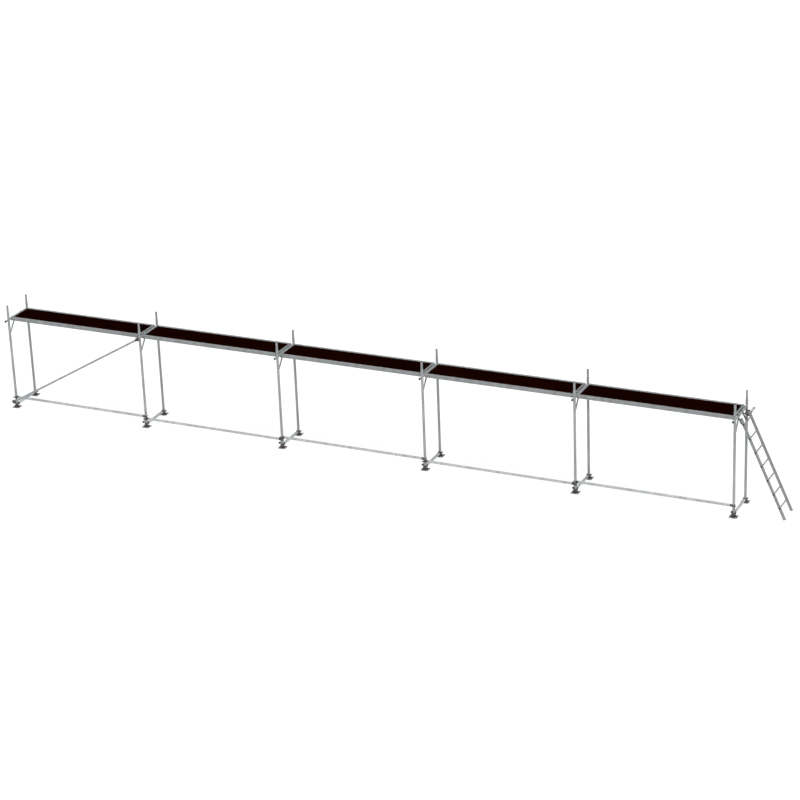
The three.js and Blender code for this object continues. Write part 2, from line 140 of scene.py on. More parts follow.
# ---------------------------------------------------------------- mesh building
class Shape:
    """The vertices and faces of one mesh, with a look (material index) for each face."""

    def __init__(self):
        self.verts = []
        self.faces = []
        self.looks = []

    def ring(self, points):
        start = len(self.verts)
        self.verts.extend(Vector(p) for p in points)
        return list(range(start, len(self.verts)))

    def face(self, corners, look=0):
        self.faces.append(tuple(corners))
        self.looks.append(look)

    def bridge(self, a, b, look=0):
        """Faces between two rings, one of which may be a single point."""
        count = max(len(a), len(b))
        for k in range(count):
            after = (k + 1) % count
            if len(a) == 1:
                self.face((a[0], b[after], b[k]), look)
            elif len(b) == 1:
                self.face((a[k], a[after], b[0]), look)
            else:
                self.face((a[k], a[after], b[after], b[k]), look)

    def loft(self, rings):
        """Joins rings one after the other and closes both ends."""
        made = [self.ring(points) for points in rings]
        for a, b in zip(made, made[1:]):
            self.bridge(a, b)
        self.face(made[0][::-1])
        self.face(made[-1])

    def wrap(self, rings, looks):
        """Joins rings into a skin that closes on itself, with a look from each ring to the next."""
        made = [self.ring(points) for points in rings]
        for k, look in enumerate(looks):
            self.bridge(made[k], made[(k + 1) % len(made)], look)

    def add(self, other, matrix=Matrix.Identity(4)):
        start = len(self.verts)
        self.verts.extend(matrix @ v for v in other.verts)
        self.faces.extend(tuple(start + k for k in face) for face in other.faces)
        self.looks.extend(other.looks)

    def mesh(self, name, materials, smooth_angle=SMOOTH_UP_TO):
        data = bpy.data.meshes.new(name)
        data.from_pydata([tuple(v) for v in self.verts], [], self.faces)
        work = bmesh.new()
        work.from_mesh(data)
        bmesh.ops.recalc_face_normals(work, faces=work.faces)
        work.to_mesh(data)
        work.free()
        return dress(data, materials, self.looks, smooth_angle)


def dress(data, materials, looks, smooth_angle=SMOOTH_UP_TO):
    """Gives a mesh its materials and smooth shading, with sharp edges past the angle."""
    data.materials.clear()
    for material in materials:
        data.materials.append(material)
    for polygon, look in zip(data.polygons, looks):
        polygon.material_index = look
        polygon.use_smooth = True
    data.set_sharp_from_angle(angle=math.radians(smooth_angle))
    return data


def axes(x, y, z, origin=(0, 0, 0)):
    """The matrix with these local axes and this origin."""
    matrix = Matrix((x, y, z)).transposed().to_4x4()
    matrix.translation = Vector(origin)
    return matrix


def basis_from(axis, origin=(0, 0, 0), towards=None):
    """A matrix whose local Z is the axis, and whose local X leans towards the given direction."""
    z = Vector(axis).normalized()
    x = Vector(towards) if towards is not None else z.orthogonal()
    x = (x - z * x.dot(z)).normalized()
    return axes(x, z.cross(x), z, origin)


def circle(radius, sides):
    turn = (2 * math.pi * k / sides for k in range(sides))
    return [(radius * math.cos(a), radius * math.sin(a)) for a in turn]


def placed(place, outline, height=0.0):
    """The (x, y) points of an outline at a local height, moved to their place."""
    return [place @ Vector((x, y, height)) for x, y in outline]


def revolve(shape, profile, origin=(0, 0, 0), axis=Z_AXIS, sides=32, look=0):
    """Turns (radius, height) points round an axis. A radius of 0 is a pole, and a third value is
    the look of the faces from that point to the next."""
    place = basis_from(axis, origin)
    rings = []
    looks = []
    for radius, height, *own in profile:
        points = circle(radius, sides) if radius else [(0, 0)]
        rings.append(shape.ring(placed(place, points, height)))
        looks.append(own[0] if own else look)
    for k in range(len(rings) - 1):
        shape.bridge(rings[k], rings[k + 1], looks[k])
    if profile[0][0] and profile[-1][0]:
        shape.bridge(rings[-1], rings[0], looks[-1])


def tube(shape, start, end, outer, bore, sides=32, edge=0.0007):
    """An open tube with broken rims. Its bore has its own look."""
    start, end = Vector(start), Vector(end)
    length = (end - start).length
    profile = [
        (outer - edge, 0), (outer, edge), (outer, length - edge), (outer - edge, length),
        (bore + edge, length), (bore, length - edge, 1), (bore, edge), (bore + edge, 0)]
    revolve(shape, profile, start, end - start, sides)


def end_cap(shape, end, axis, tube_r):
    """A hollow push-on cap whose open side faces away along the axis; its rim is at the end."""
    skirt, wall, floor = -0.014, 0.0012, -0.011
    lip = tube_r + 0.0009
    mouth = tube_r * 0.66
    profile = [(tube_r - 0.0002, skirt), (lip, skirt), (lip, -wall), (lip - wall, 0),
               (tube_r * 0.70, 0), (mouth, -0.0015), (mouth, floor), (0, floor - 0.0005)]
    revolve(shape, profile, end, axis, 36)


def rod(shape, start, end, radius, sides=24, edge=0.0008, look=0):
    start, end = Vector(start), Vector(end)
    length = (end - start).length
    profile = [(0, 0), (radius - edge, 0), (radius, edge), (radius, length - edge),
               (radius - edge, length), (0, length)]
    revolve(shape, profile, start, end - start, sides, look)


def dome(shape, origin, axis, radius, height, look=0):
    """A rivet's head, seated a little into its surface."""
    seat = -0.0006
    profile = [(0, seat), (radius, seat), (radius, 0.2 * height), (0.86 * radius, 0.62 * height),
               (0.5 * radius, 0.92 * height), (0, height)]
    revolve(shape, profile, origin, axis, 20, look)


def hex_nut(shape, origin, axis, across, height, hole, look=0):
    """A hexagon nut with its corners turned off."""
    corner = across / math.sqrt(3)
    edge = 0.12 * corner
    profile = [(hole, 0), (corner - edge, 0), (corner, edge / 2), (corner, height - edge / 2),
               (corner - edge, height), (hole, height)]
    revolve(shape, profile, origin, axis, 6, look)


def sweep(shape, points, radius, sides=8, closed=True, ripple=0.0):
    """A round bead along a line of points, with a slight ripple as a weld has."""
    count = len(points)
    rings = []
    for k, point in enumerate(points):
        before = points[(k - 1) % count] if closed or k else point
        after = points[(k + 1) % count] if closed or k < count - 1 else point
        place = basis_from(after - before, point, towards=Z_AXIS + 0.3 * X_AXIS)
        rings.append(placed(place, circle(radius * (1 + ripple * math.sin(2.4 * k)), sides)))
    if closed:
        shape.wrap(rings, [0] * count)
    else:
        shape.loft(rings)


def bead(shape, start, end, radius, steps, ripple=0.2):
    """A straight weld bead."""
    start, end = Vector(start), Vector(end)
    sweep(shape, [start.lerp(end, k / steps) for k in range(steps + 1)], radius, closed=False,
          ripple=ripple)


def saddle_weld(shape, post_y, side, z, tube_r, radius=0.0035):
    """The weld where a tube along Y meets a post: it follows the saddle line between them."""
    points = []
    for x, rise in circle(tube_r, 44):
        reach = math.sqrt(max(TUBE_R ** 2 - x ** 2, (0.25 * TUBE_R) ** 2))
        points.append(Vector((x, post_y + side * reach, z + rise)))
    sweep(shape, points, radius, ripple=0.14)


def arc_points(radius, start, end, steps):
    """Points on a circle round the origin, from one angle to another in degrees."""
    turn = (math.radians(start + (end - start) * k / steps) for k in range(steps + 1))
    return [(radius * math.cos(a), radius * math.sin(a)) for a in turn]


def round_path(points, radius, steps=4, closed=False):
    """The same line of (x, y) points with its corners rounded."""
    count = len(points)
    out = []
    for k, p in enumerate(points):
        if not closed and k in (0, count - 1):
            out.append(p)
            continue
        here = Vector(p)
        back = Vector(points[k - 1]) - here
        ahead = Vector(points[(k + 1) % count]) - here
        half = back.angle(ahead) / 2
        run = min(radius / math.tan(half), 0.49 * back.length, 0.49 * ahead.length)
        r = run * math.tan(half)
        centre = here + (back.normalized() + ahead.normalized()).normalized() * (r / math.sin(half))
        first = here + back.normalized() * run - centre
        last = here + ahead.normalized() * run - centre
        bend = first.angle_signed(last)
        for j in range(steps + 1):
            turned = first.copy()
            turned.rotate(Matrix.Rotation(-bend * j / steps, 2))
            out.append(tuple(centre + turned))
    return out


def box_outline(x0, x1, y0, y1):
    return [(x0, y0), (x1, y0), (x1, y1), (x0, y1)]


def offset_loop(points, distance):
    """A closed outline moved inwards by the distance, corner by corner."""
    after = points[1:] + points[:1]
    area = sum(p[0] * q[1] - q[0] * p[1] for p, q in zip(points, after))
    turn = 1 if area > 0 else -1
    out = []
    for k, point in enumerate(points):
        here = Vector(point)
        a = (here - Vector(points[k - 1])).normalized()
        b = (Vector(after[k]) - here).normalized()
        normal_a = Vector((-a.y, a.x)) * turn
        normal_b = Vector((-b.y, b.x)) * turn
        miter = normal_a + normal_b
        scale = distance / max(0.3, 1 + normal_a.dot(normal_b)) if miter.length else 0
        out.append(tuple(here + miter * scale))
    return out


def slab(shape, outline, place, thickness, bevel=0.0008):
    """A plate of the outline's shape with broken edges, from local z = 0 to the thickness."""
    inner = offset_loop(outline, bevel)
    levels = [(inner, 0), (outline, bevel), (outline, thickness - bevel), (inner, thickness)]
    shape.loft([placed(place, loop, z) for loop, z in levels])


def thicken(path, sheet):
    """The closed outline of a bent sheet whose middle line is the path."""
    left = []
    right = []
    for k, p in enumerate(path):
        here = Vector(p)
        a = (here - Vector(path[k - 1])).normalized() if k else None
        b = (Vector(path[k + 1]) - here).normalized() if k < len(path) - 1 else None
        a = a or b
        b = b or a
        normal = Vector((-(a + b).y, (a + b).x)).normalized()
        shift = normal * (sheet / 2) / max(0.5, normal.dot(Vector((-a.y, a.x))))
        left.append(tuple(here + shift))
        right.append(tuple(here - shift))
    return left + right[::-1]


def profile_bar(shape, section, place, length):
    """A section in local XY, run along local Z."""
    shape.loft([placed(place, section, z) for z in (0, length)])


# ---------------------------------------------------------------- materials
def rgba(colour):
    """The value of a colour socket, from three channels or from one grey level."""
    return (*colour, 1) if isinstance(colour, tuple) else (colour, colour, colour, 1)


def ramp(tree, value, *stops):
    """A ramp between two stops, each a position and a colour."""
    node = tree.nodes.new("ShaderNodeValToRGB")
    for element, (position, colour) in zip(node.color_ramp.elements, stops):
        element.position = position
        element.color = rgba(colour)
    tree.links.new(value, node.inputs[0])
    return node.outputs[0]


class Look:
    """A material while its nodes are made. Its textures lie in the piece's own coordinates,
    shifted by the piece's random number so that copies differ."""

    def __init__(self, name):
        self.material = bpy.data.materials.new(name)
        self.material.use_nodes = True
        self.tree = self.material.node_tree
        self.tree.nodes.clear()
        output = self.node("OutputMaterial")
        self.shader = self.node("BsdfPrincipled")
        self.link(self.shader.outputs[0], output.inputs[0])
        self.relief = None
        place = self.node("TexCoord")
        info = self.node("ObjectInfo")
        shift = self.node("VectorMath")
        shift.operation = "MULTIPLY_ADD"
        shift.inputs[1].default_value = (7.3, 5.1, 9.7)
        self.link(info.outputs["Random"], shift.inputs[0])
        self.link(place.outputs["Object"], shift.inputs[2])
        self.where = shift.outputs[0]

    def node(self, kind):
        return self.tree.nodes.new("ShaderNode" + kind)

    def link(self, output, socket):
        self.tree.links.new(output, socket)

    def texture(self, kind, scale, stretch=(1, 1, 1), **values):
        mapping = self.node("Mapping")
        mapping.inputs["Scale"].default_value = stretch
        self.link(self.where, mapping.inputs["Vector"])
        node = self.node("Tex" + kind)
        node.inputs["Scale"].default_value = scale
        for key, value in values.items():
            node.inputs[key].default_value = value
        self.link(mapping.outputs[0], node.inputs["Vector"])
        return node

    def noise(self, scale, detail, stretch=(1, 1, 1), **values):
        return self.texture("Noise", scale, stretch, Detail=detail, **values).outputs[0]

    def ramp(self, value, *stops):
        return ramp(self.tree, value, *stops)

    def mix(self, kind, factor, a, b):
        node = self.node("Mix")
        node.data_type = "RGBA"
        node.blend_type = kind
        if isinstance(factor, float):
            node.inputs[0].default_value = factor
        else:
            self.link(factor, node.inputs[0])
        for socket, colour in ((node.inputs[6], a), (node.inputs[7], b)):
            if isinstance(colour, bpy.types.NodeSocket):
                self.link(colour, socket)
            else:
                socket.default_value = rgba(colour)
        return node.outputs[2]

    def times(self, colour, shade):
        return self.mix("MULTIPLY", 1.0, colour, shade)

    def bump(self, height, strength, distance):
        """Adds relief over any that is already there."""
        node = self.node("Bump")
        node.inputs["Strength"].default_value = strength
        node.inputs["Distance"].default_value = distance
        self.link(height, node.inputs["Height"])
        if self.relief:
            self.link(self.relief, node.inputs["Normal"])
        self.relief = node.outputs[0]
        self.link(self.relief, self.shader.inputs["Normal"])

    def rub_edges(self, colour, bare, reach=0.0012):
        """Shows the bare colour where an edge is within reach and the noise lets it through."""
        geometry = self.node("NewGeometry")
        rounded = self.node("Bevel")
        rounded.samples = 4
        rounded.inputs["Radius"].default_value = reach
        agree = self.node("VectorMath")
        agree.operation = "DOT_PRODUCT"
        self.link(geometry.outputs["Normal"], agree.inputs[0])
        self.link(rounded.outputs[0], agree.inputs[1])
        edge = self.ramp(agree.outputs["Value"], (0.90, 1.0), (0.99, 0.0))
        patches = self.ramp(self.noise(70.0, 5.0), (0.40, 0.15), (0.60, 1.0))
        return self.mix("MIX", self.times(edge, patches), colour, bare)

    def done(self, colour, roughness, metallic=0.0, specular=0.5):
        self.link(colour, self.shader.inputs["Base Color"])
        self.link(roughness, self.shader.inputs["Roughness"])
        self.shader.inputs["Metallic"].default_value = metallic
        self.shader.inputs["Specular IOR Level"].default_value = specular
        return self.material


def zinc(name, base, contrast, roughness, metallic, streaks=0.0):
    """Hot-dip galvanised steel: crystalline spangle, dull patches, runs and rubbed edges."""
    look = Look(name)
    spangle = look.texture("Voronoi", 95.0, Randomness=1.0)
    cloud = look.noise(9.0, 6.0, (1, 1, 0.35))
    grain = look.noise(38.0, 4.0, (1, 1, 0.08))
    cool = (0.955, 1.0, 1.02)
    dark = tuple(base * (1 - contrast) * k for k in cool)
    light = tuple(base * (1 + contrast) * k for k in cool)
    colour = look.ramp(spangle.outputs["Color"], (0.0, dark), (1.0, light))
    colour = look.times(colour, look.ramp(cloud, (0.35, 0.78), (0.65, 1.04)))
    colour = look.times(colour, look.ramp(grain, (0.50, 1.0), (0.72, 1.0 - streaks)))
    colour = look.rub_edges(colour, min(1.0, base * 1.35))
    look.bump(spangle.outputs["Distance"], 0.10, 0.0004)
    look.bump(look.noise(420.0, 3.0), 0.22, 0.0004)
    gloss = look.ramp(cloud, (0.3, roughness - 0.08), (0.7, roughness + 0.10))
    return look.done(colour, gloss, metallic, specular=0.25)


def forged(name, base, tint, roughness, rust=0.25):
    """Dark weathered steel: scale, brown bloom and bright rubbed edges. Made near-black, it also
    serves as painted shade inside tube bores.
    """
    look = Look(name)
    bloom = look.noise(26.0, 8.0, Roughness=0.62)
    pits = look.noise(240.0, 4.0)
    scale = look.texture("Voronoi", 130.0)
    steel = tuple(base * t for t in tint)
    brown = tuple(base * t for t in (1.45, 1.02, 0.80))
    colour = look.mix("MIX", rust, steel, look.ramp(bloom, (0.38, steel), (0.66, brown)))
    colour = look.times(colour, look.ramp(pits, (0.40, 0.72), (0.58, 1.0)))
    colour = look.rub_edges(colour, min(1.0, 3.2 * base))
    look.bump(scale.outputs["Distance"], 0.12, 0.0006)
    look.bump(pits, 0.35, 0.0006)
    gloss = look.ramp(bloom, (0.3, roughness - 0.1), (0.7, roughness + 0.12))
    return look.done(colour, gloss, metallic=0.55)


def film_plywood(name):
    """Dark brown phenolic film with a pressed anti-slip mesh, scuffed in streaks along its length."""
    look = Look(name)
    grain = look.noise(14.0, 7.0, (0.06, 1, 1))
    cloud = look.noise(2.2, 5.0)
    scuff = look.noise(60.0, 6.0, (0.12, 1, 1))
    deep = (0.0052, 0.0005, 0.0001)
    brown = (0.0100, 0.0013, 0.0002)
    dust = (0.014, 0.003, 0.001)
    colour = look.ramp(grain, (0.30, deep), (0.72, brown))
    colour = look.times(colour, look.ramp(cloud, (0.30, 0.70), (0.75, 1.0)))
    colour = look.mix("MIX", look.ramp(scuff, (0.66, 0.0), (0.80, 0.35)), colour, dust)
    strands = []
    for slope in (1, -1):
        wave = look.texture("Wave", 42.0, (1, slope, 0))
        wave.bands_direction = "DIAGONAL"
        strands.append(wave.outputs[0])
    look.bump(look.mix("LIGHTEN", 1.0, *strands), 0.30, 0.0006)
    look.bump(scuff, 0.10, 0.0004)
    return look.done(colour, look.ramp(cloud, (0.3, 0.62), (0.7, 0.78)), specular=0.0)


def extruded_aluminium(name):
    """Mill-finish extrusion: fine lines along its length, dull oxide, small knocks."""
    look = Look(name)
    lines = look.noise(260.0, 4.0, (1, 1, 0.02))
    cloud = look.noise(7.0, 6.0)
    knocks = look.texture("Voronoi", 55.0)
    dull = (0.245, 0.257, 0.262)
    clean = (0.295, 0.307, 0.312)
    colour = look.ramp(cloud, (0.30, dull), (0.72, clean))
    colour = look.times(colour, look.ramp(lines, (0.35, 0.90), (0.65, 1.0)))
    colour = look.rub_edges(colour, (0.44, 0.45, 0.455))
    look.bump(lines, 0.18, 0.0003)
    look.bump(look.ramp(knocks.outputs["Distance"], (0.0, 0.0), (0.08, 1.0)), 0.08, 0.0004)
    return look.done(colour, look.ramp(lines, (0.3, 0.42), (0.7, 0.58)), metallic=0.25)


def moulded(name, level):
    """A moulded plastic plug with a fine eroded surface."""
    look = Look(name)
    cloud = look.noise(40.0, 4.0)
    colour = look.ramp(cloud, (0.3, level * 0.85), (0.7, level * 1.12))
    look.bump(look.noise(900.0, 2.0), 0.3, 0.0003)
    return look.done(colour, look.ramp(cloud, (0.3, 0.50), (0.7, 0.64)))


GALVANISED = zinc("galvanised_tube", 0.375, 0.24, 0.55, 0.20, streaks=0.10)
BRIGHT = zinc("bright_tube", 0.52, 0.16, 0.48, 0.20, streaks=0.06)
SHEET = zinc("deck_steel", 0.300, 0.22, 0.55, 0.20, streaks=0.08)
DARK = forged("dark_steel", 0.105, (1.0, 0.92, 0.88), 0.55)
BOLT = forged("bolt_steel", 0.13, (1.0, 0.96, 0.92), 0.42, rust=0.15)
# Near-black and rusty on the insides of all tubes, aluminium stiles and zinc rungs included: painted
# shade in the bores, not their real metal.
PAINTED_SHADE_BORE = forged("tube_bore_painted_shade", 0.022, (1.0, 0.85, 0.78), 0.8, rust=0.5)
PLY = film_plywood("film_plywood")
ALUMINIUM = extruded_aluminium("ladder_aluminium")
RUNG_METAL = zinc("rung_metal", 0.325, 0.12, 0.46, 0.25)
PLATE = forged("plate_steel", 0.210, (1.0, 0.95, 0.93), 0.60)
CAP = moulded("cap_plastic", 0.065)
END_CAP = moulded("black_plastic", 0.028)


def put(name, data, body, nodes, place=(0, 0, 0)):
    """Shows a mesh at a place, riding on a body and standing for its CAD nodes."""
    piece = bpy.data.objects.new(name, data)
    scene.collection.objects.link(piece)
    piece.location = place
    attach(piece, body)
    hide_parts(*nodes)


def put_shape(name, shape, looks, body, node, place=(0, 0, 0)):
    put(name, shape.mesh(name, looks), body, [node], place)


def put_row(node, places, parts):
    """Copies of the parts' meshes at each place, standing for the CAD nodes numbered from 1."""
    for name, (shape, looks) in parts.items():
        data = shape.mesh(name, looks)
        for i, place in enumerate(places):
            put(f"{name}_{i + 1}", data, "platform", [f"{node}_{i + 1}"], place)


# ---------------------------------------------------------------- frames
def post_shape():
    """One post on the local Z axis, rolled in to its spigot at the top."""
    shape = Shape()
    edge = 0.0009
    sleeve = SPIGOT_R + 0.0006
    profile = [
        (TUBE_BORE + edge, POST_BOTTOM), (TUBE_R - edge, POST_BOTTOM), (TUBE_R, POST_BOTTOM + edge),
        (TUBE_R, POST_TOP - 3 * edge), (TUBE_R - 0.6 * edge, POST_TOP - edge),
        (TUBE_R - 2 * edge, POST_TOP), (sleeve, POST_TOP), (sleeve, POST_TOP - 0.03),
        (TUBE_BORE, POST_TOP - 0.03, 1), (TUBE_BORE, POST_BOTTOM + edge)]
    revolve(shape, profile, sides=40)
    crimp(shape, POST_TOP - CRIMP_DOWN)
    return shape


def spigot_shape():
    """The spigot, with the ends of the pins that hold it."""
    shape = Shape()
    tube(shape, (0, 0, POST_TOP - SPIGOT_IN), (0, 0, SPIGOT_TOP), SPIGOT_R, SPIGOT_BORE,
         sides=36, edge=0.0014)
    for z, reach in ((POST_TOP - 0.045, TUBE_R), (POST_TOP + 0.075, SPIGOT_R)):
        for side in (-1, 1):
            dome(shape, (side * reach, 0, z), X_AXIS * side, 0.0065, 0.0022)
    return shape


def crimp(shape, z):
    """A rolled groove's raised lips, which lock the spigot in the post."""
    for lip in (-0.0055, 0.0055):
        ring = [Vector((x, y, z + lip)) for x, y in circle(TUBE_R + 0.0002, 40)]
        sweep(shape, ring, 0.0013, sides=6)


def on_both_posts(one):
    shape = Shape()
    for side in (-1, 1):
        shape.add(one, Matrix.Translation((0, side * POST_Y, 0)))
    return shape


def cut_rim(end, radius, z, sides=40):
    """The rim of a tube along Y. Its end is (y, side): square at y where the side is 0, or else cut
    to the round wall of the post at y, which the tube meets from that side."""
    y, side = end
    rim = []
    for x, rise in circle(radius, sides):
        wall = max(0.0, math.sqrt(max(0.0, TUBE_R ** 2 - x ** 2)) - WELD_IN)
        rim.append(Vector((x, y + side * wall, z + rise)))
    return rim


def cut_tube(shape, z, first, last, outer, bore):
    """An open tube along Y between two ends of cut_rim. Its bore has its own look."""
    corners = ((first, outer), (last, outer), (last, bore), (first, bore))
    shape.wrap([cut_rim(end, radius, z) for end, radius in corners], (0, 0, 1, 0))


def frame_transom():
    shape = Shape()
    cut_tube(shape, TRANSOM_Z, (-POST_Y, 1), (POST_Y, -1), TUBE_R, TUBE_BORE)
    return shape


def corner_brace_ends():
    """The top and the foot of both corner braces."""
    return [[Vector((0, side * y, z)) for y, z in (BRACE_TOP, BRACE_FOOT)] for side in (-1, 1)]


def frame_corner_braces():
    """Straight thin bars, flattened where they are welded on."""
    shape = Shape()
    flat_share = 0.13
    for top, foot in corner_brace_ends():
        along = foot - top
        place = basis_from(along, top, towards=X_AXIS)
        rings = []
        for share in (0, 0.06, flat_share, 0.5, 1 - flat_share, 0.94, 1):
            pressed = share < 0.1 or share > 0.9
            squash, spread = (0.62, 1.18) if pressed else (1.0, 1.0)
            outline = [(x * squash, y * spread) for x, y in circle(CORNER_BRACE_R, 24)]
            rings.append(placed(place, outline, share * along.length))
        shape.loft(rings)
    return shape


def frame_stubs():
    shape = Shape()
    for z in (STUB_HIGH, STUB_LOW):
        cut_tube(shape, z, (-POST_Y, -1), (-STUB_END + 0.002, 0), STUB_R, STUB_BORE)
    return shape


def frame_stub_caps():
    shape = Shape()
    for z in (STUB_HIGH, STUB_LOW):
        end_cap(shape, (0, -STUB_END, z), -Y_AXIS, STUB_R)
    return shape


def frame_welds():
    shape = Shape()
    for side in (-1, 1):
        saddle_weld(shape, side * POST_Y, -side, TRANSOM_Z, TUBE_R * 0.98)
    for z in (STUB_HIGH, STUB_LOW):
        saddle_weld(shape, -POST_Y, -1, z, STUB_R, radius=0.003)
    outline = [(0.0092 * x, 0.0158 * y) for x, y in circle(1, 24)]
    for top, foot in corner_brace_ends():
        along = (foot - top).normalized()
        for centre in (top + along * 0.008, foot - along * 0.010):
            place = basis_from(along, centre, towards=X_AXIS)
            sweep(shape, placed(place, outline), 0.0024, ripple=0.16)
    return shape


def build_frames():
    put_row("frame", [(x, RUN_Y, 0) for x in FRAME_X], {
        "frame_posts": (on_both_posts(post_shape()), [GALVANISED, PAINTED_SHADE_BORE]),
        "frame_spigots": (on_both_posts(spigot_shape()), [GALVANISED, PAINTED_SHADE_BORE]),
        "frame_transom": (frame_transom(), [GALVANISED, PAINTED_SHADE_BORE]),
        "frame_corner_braces": (frame_corner_braces(), [GALVANISED]),
        "frame_stubs": (frame_stubs(), [GALVANISED, PAINTED_SHADE_BORE]),
        "frame_stub_caps": (frame_stub_caps(), [END_CAP]),
        "frame_welds": (frame_welds(), [GALVANISED]),
    })


# ---------------------------------------------------------------- half-couplers
def arc_band(shape, inner, outer, low, high, start, end):
    """A bent strap round the local Z axis, from one angle to another, in degrees."""
    edge = 0.0009
    steps = 18
    section = [(inner, low + edge), (inner + edge, low), (outer - edge, low), (outer, low + edge),
               (outer, high - edge), (outer - edge, high), (inner + edge, high), (inner, high - edge)]
    shape.loft([[Vector((r * x, r * y, z)) for r, z in section]
                for x, y in arc_points(1, start, end, steps)])


def corner_block(shape, x0, x1, y0, y1, z0, z1, bevel=0.0012):
    outline = box_outline(min(x0, x1), max(x0, x1), y0, y1)
    slab(shape, outline, Matrix.Translation((0, 0, z0)), z1 - z0, bevel)


def clamp_straps(shape, grip, half):
    """The saddle at +X and the flap at -X, each with a raised rib along both edges."""
    outer = grip + 0.0055
    rib = 0.006
    for start, end in ((-49, 82), (98, 229)):
        arc_band(shape, grip + 0.0003, outer, -half, half, start, end)
        for low in (-half, half - rib):
            arc_band(shape, outer - 0.001, outer + 0.0024, low, low + rib, start + 4, end - 8)


def clamp_hinge(shape, grip, half):
    """Two outer knuckles on the saddle, one middle knuckle on the flap, and the pin."""
    y = grip + PIN_OUT
    pin_r, knuckle_r, edge = 0.0042, 0.0078, 0.0008
    third = 2 * half / 3
    for k, side in enumerate((1, -1, 1)):
        low = -half + k * third + 0.0003
        high = low + third - 0.0006
        revolve(shape, [(pin_r, low), (knuckle_r - edge, low), (knuckle_r, low + edge),
                        (knuckle_r, high - edge), (knuckle_r - edge, high), (pin_r, high)],
                (0, y, 0), Z_AXIS, 24)
        corner_block(shape, 0, side * 0.0075, grip + 0.001, y - 0.003, low, high, edge)
    rod(shape, (0, y, -half - 0.0015), (0, y, half + 0.002), pin_r - 0.0001, look=1)
    dome(shape, (0, y, half + 0.0015), Z_AXIS, 0.0066, 0.0030, look=1)


def clamp_lugs(shape, grip):
    """The pairs of lugs that the bolt passes between."""
    near, thick = 0.0130, 0.005
    for far in (near + 0.012, -near - 0.008):
        for z in (-0.0125, 0.0075):
            corner_block(shape, math.copysign(near, far), far,
                         -grip - PIN_OUT - 0.0075, -grip * 0.62, z, z + thick)


def clamp_bolt(shape, grip):
    """The T-bolt's cross head, its threaded shank, washer and nut."""
    y = -grip - PIN_OUT
    head_x, head_half, tip_x = 0.0215, 0.013, -0.0525
    rod(shape, (head_x, y, -head_half), (head_x, y, head_half), 0.0062, look=1)
    rod(shape, (head_x, y, 0), (tip_x, y, 0), 0.0056, look=1, edge=0.0012)
    for k in range(7):
        x = -0.0400 - 0.0017 * k
        revolve(shape, [(0.0052, 0), (0.0061, 0.00045), (0.0052, 0.0009)], (x, y, 0), -X_AXIS, 20, 1)
    hole, washer_r, washer_t, edge = 0.0057, 0.0132, 0.0028, 0.0006
    revolve(shape, [(hole, 0), (washer_r - 0.0004, 0), (washer_r, edge), (washer_r, washer_t - edge),
                    (washer_r - 0.0004, washer_t), (hole, washer_t)],
            (-0.0212, y, 0), -X_AXIS, 28, 1)
    hex_nut(shape, (-0.0240, y, 0), -X_AXIS, 0.022, 0.0155, hole, look=1)


def clamp(grip, band):
    """A hinged clamp round the local Z axis, with its hinge at +Y and the T-bolt across the front
    at -Y, its nut on the flap's side."""
    shape = Shape()
    clamp_straps(shape, grip, band / 2)
    clamp_hinge(shape, grip, band / 2)
    clamp_lugs(shape, grip)
    clamp_bolt(shape, grip)
    return shape


def cup(shape, tube_r):
    """The pressed cup between a saddle and its tube, along local +X, with its welds."""
    start = tube_r + 0.002
    end = TUBE_START + 0.002
    bore = tube_r - 0.003
    mouth = tube_r + 0.0012
    profile = [
        (0, start), (tube_r * 0.66, start), (tube_r * 0.70, start + 0.008),
        (tube_r * 0.80, start + 0.014), (tube_r + 0.0005, end - 0.010), (mouth, end - 0.004),
        (mouth, end), (bore, end), (bore, end - 0.006), (0, end - 0.008)]
    revolve(shape, profile, (0, 0, 0), X_AXIS, 36)
    for x, r in ((end, tube_r + 0.0002), (tube_r + 0.0065, tube_r * 0.68)):
        sweep(shape, [Vector((x, y, z)) for y, z in circle(r, 36)], 0.0022, ripple=0.15)


def coupled_tube(length, band, tube_r, bore, turn=Matrix.Identity(4)):
    """The half-couplers at both ends of a tube, which grip tubes of its own size along local Z,
    and the tube itself, along local X. Both are then turned."""
    one = clamp(tube_r, band)
    cup(one, tube_r)
    mirror_x = Matrix.Scale(-1, 4, X_AXIS)
    fittings = Shape()
    fittings.add(one, turn)
    fittings.add(one, turn @ Matrix.Translation((length, 0, 0)) @ mirror_x)
    straight = Shape()
    tube(straight, (TUBE_START, 0, 0), (length - TUBE_START, 0, 0), tube_r, bore, sides=40)
    pipe = Shape()
    pipe.add(straight, turn)
    return fittings, pipe


def build_ledgers():
    fittings, pipe = coupled_tube(BAY, LEDGER_BAND, TUBE_R, TUBE_BORE)
    places = [(FRAME_X[i], FRONT_Y, middle(f"ledger_{i + 1}").z) for i in range(BAYS)]
    put_row("ledger", places, {
        "ledger_tube": (pipe, [BRIGHT, PAINTED_SHADE_BORE]), "ledger_couplers": (fittings, [DARK, BOLT])})


def build_cross_tubes():
    turn = Matrix.Translation((0, -POST_Y, 0)) @ Matrix.Rotation(math.pi / 2, 4, "Z")
    fittings, pipe = coupled_tube(2 * POST_Y, CROSS_BAND, TUBE_R, TUBE_BORE, turn)
    put_row("cross_tube", [(x, RUN_Y, CROSS_TUBE_Z) for x in FRAME_X], {
        "cross_pipe": (pipe, [BRIGHT, PAINTED_SHADE_BORE]), "cross_couplers": (fittings, [DARK, BOLT])})


